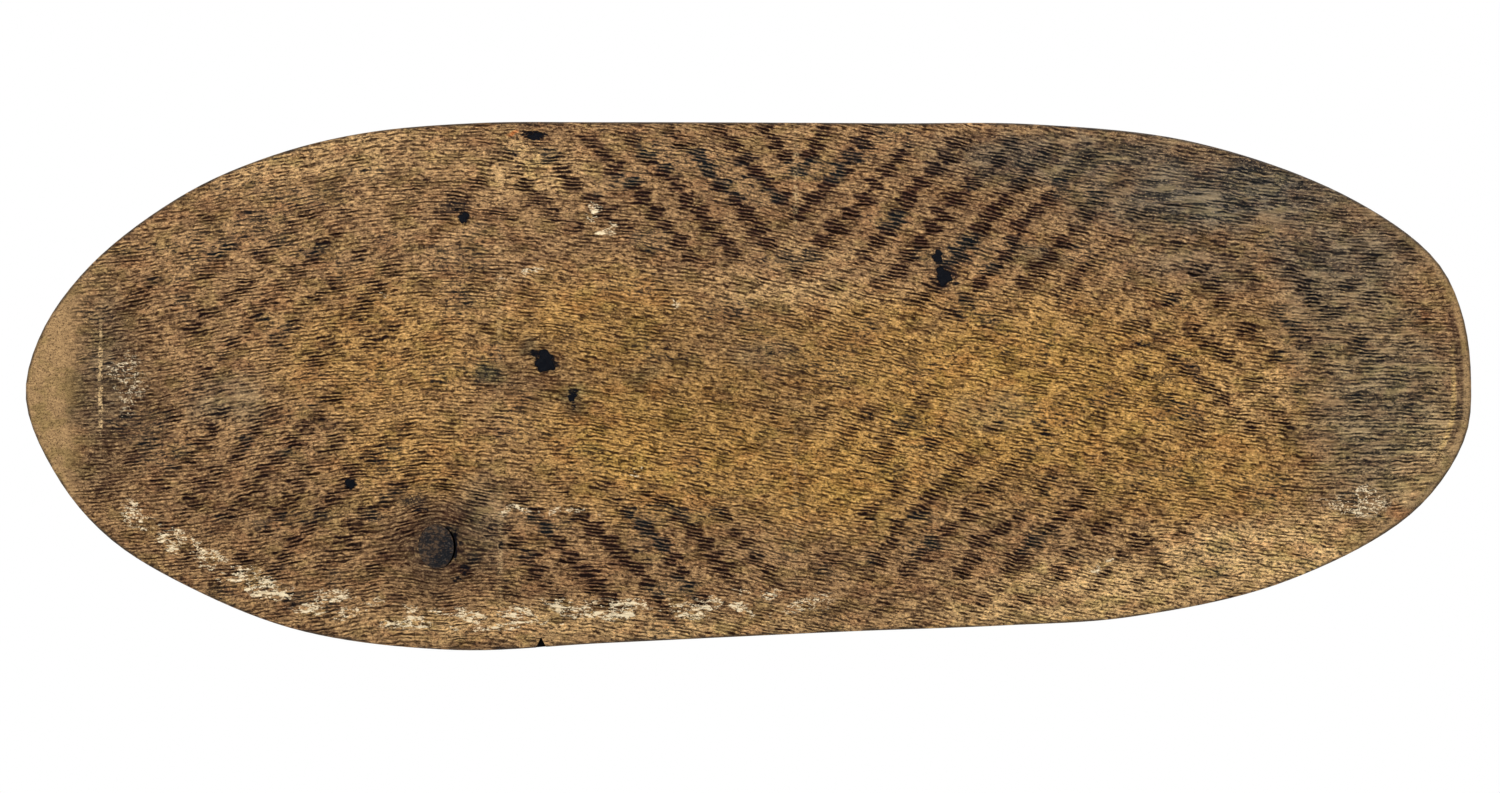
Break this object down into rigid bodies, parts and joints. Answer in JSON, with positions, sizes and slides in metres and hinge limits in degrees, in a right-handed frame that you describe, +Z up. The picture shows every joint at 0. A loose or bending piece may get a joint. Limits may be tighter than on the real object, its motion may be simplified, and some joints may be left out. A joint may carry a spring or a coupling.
{
  "type": "carved wooden shield",
  "caption": "Long oval wooden shield with a crowned, finely fluted zigzag face, a hollowed back and a grip bar across a scooped finger well.",
  "frame": {"origin": "the middle of the grip bar, where the hand closes, level with the middle of the board's outline", "axes": "+X along the board towards its narrower end, +Y from the face to the back, +Z up across the board"},
  "size_m": [0.76, 0.0504, 0.2783],
  "materials": {
    "board_wood": "old hand-worn wood, satin, darkened in the flutes",
    "grip_wood": "hard dark wood polished by the hand",
    "peg_wood": "matt end grain",
    "knot_wood": "dark dead knot, matt and checked",
    "bed_resin": "dull black plant resin",
    "stop_resin": "hard black plant resin, glossy where rubbed"
  },
  "bodies": {
    "root": {"shield_body": "board_wood", "grip_bar": "grip_wood", "grip_peg_left": "peg_wood", "grip_peg_right": "peg_wood", "resin_bed_left": "bed_resin", "resin_bed_right": "bed_resin", "large_knot": "knot_wood", "stop_upper_left": "stop_resin", "stop_centre_large": "stop_resin", "stop_centre_small": "stop_resin", "stop_lower_left": "stop_resin", "stop_upper_right_large": "stop_resin", "stop_upper_right_small": "stop_resin", "stop_top_edge": "stop_resin"}
  },
  "joints": []
}
